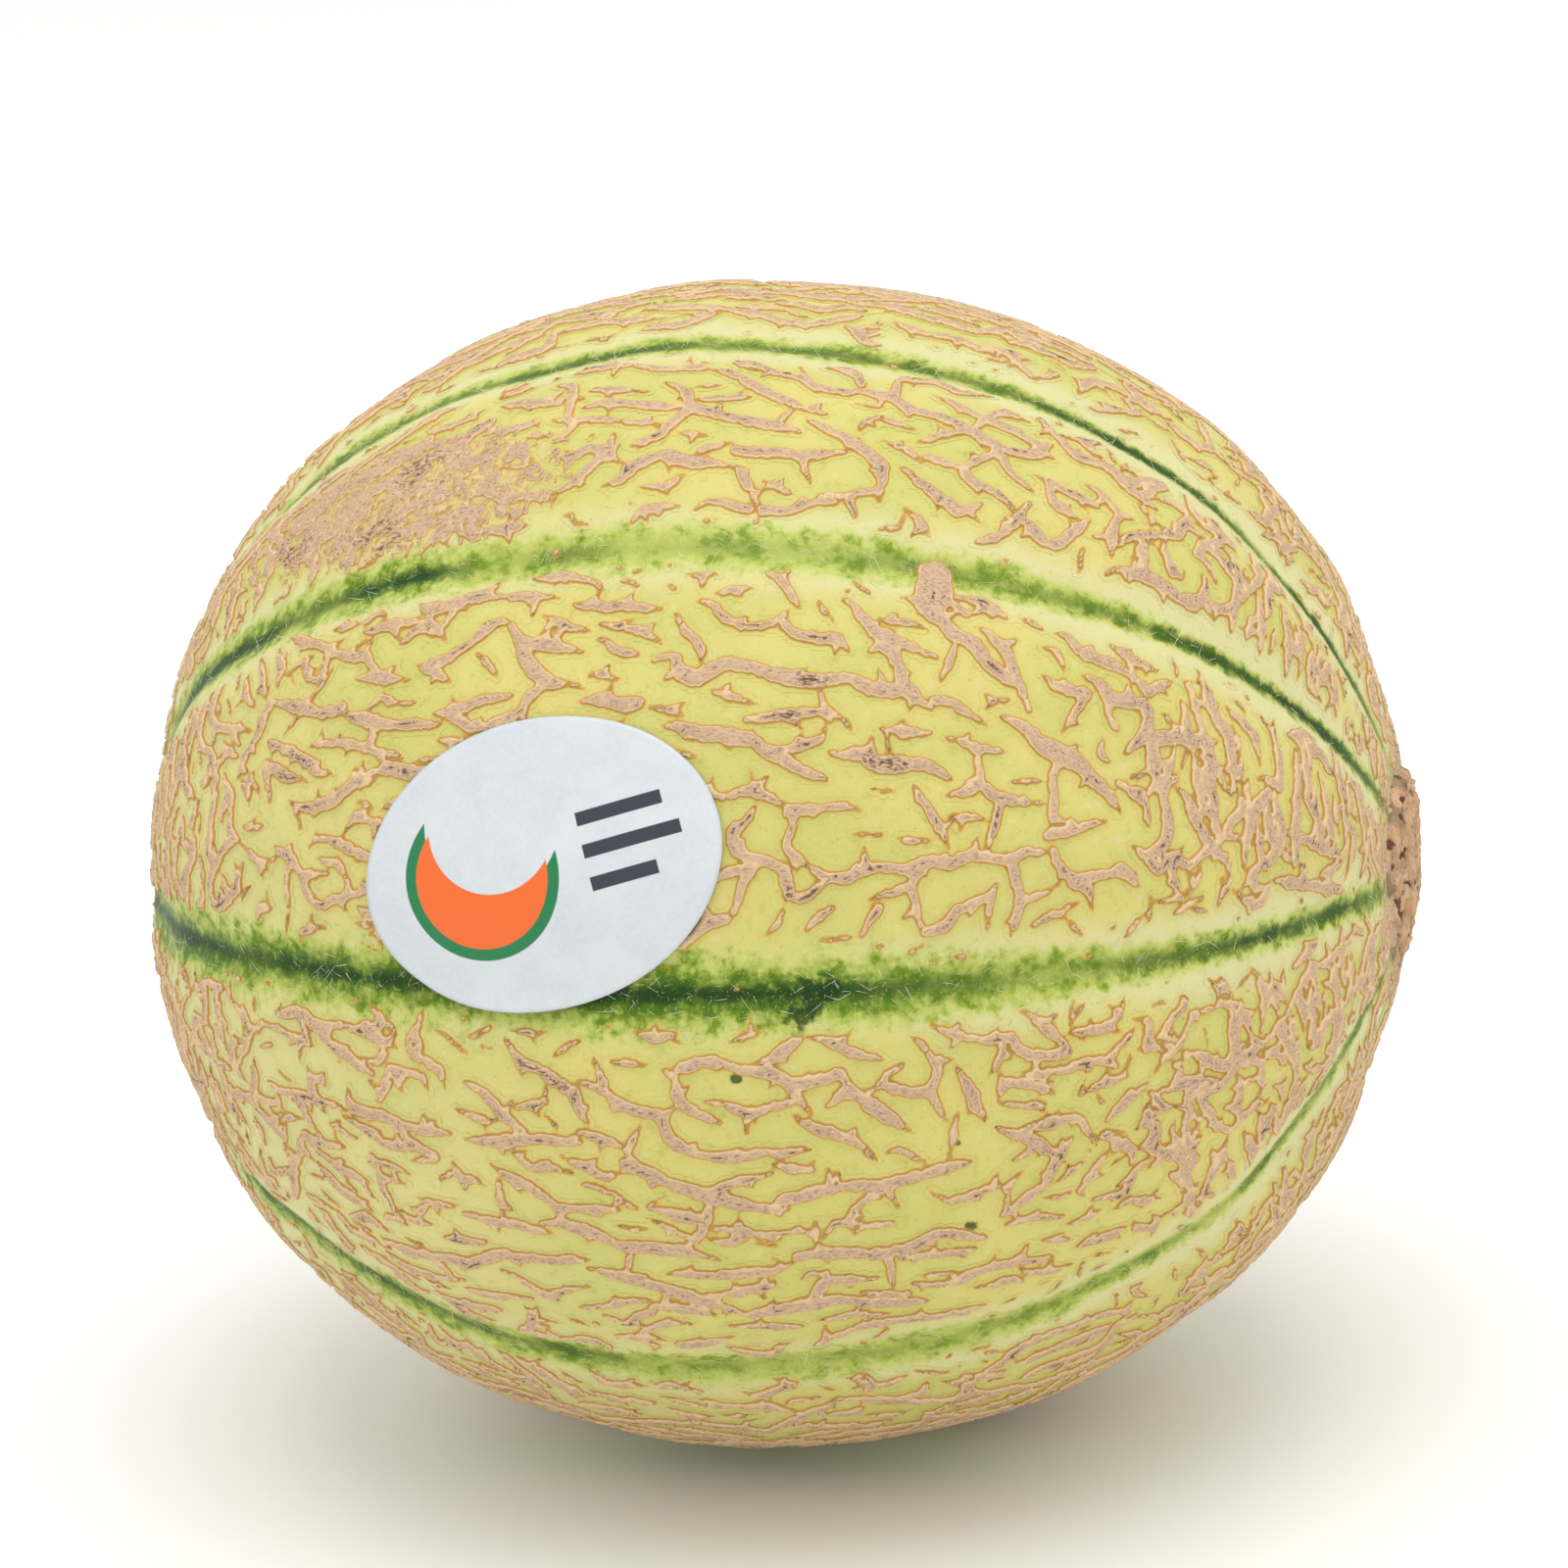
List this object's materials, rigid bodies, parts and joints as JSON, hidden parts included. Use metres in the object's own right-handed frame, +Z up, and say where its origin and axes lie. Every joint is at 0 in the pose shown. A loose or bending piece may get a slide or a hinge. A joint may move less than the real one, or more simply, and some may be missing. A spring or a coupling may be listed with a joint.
{
  "type": "netted cantaloupe melon",
  "caption": "Whole round netted melon with shallow furrows between its ribs, raised corky net, corky stem scar and an oval paper label on its flank.",
  "frame": {"origin": "on the resting surface, under the middle of the box round the fruit, next to the middle of the flat spot", "axes": "+Z up, +X along the fruit's axis towards the stem scar, -Y towards the side with the label"},
  "size_m": [0.1391, 0.1293, 0.1277],
  "materials": {
    "rind": "satin yellow-green skin with a dry tan corky net and dark green furrows",
    "label_paper": "smooth coated white paper"
  },
  "bodies": {
    "root": {"melon": "rind", "label": "label_paper"}
  },
  "joints": []
}
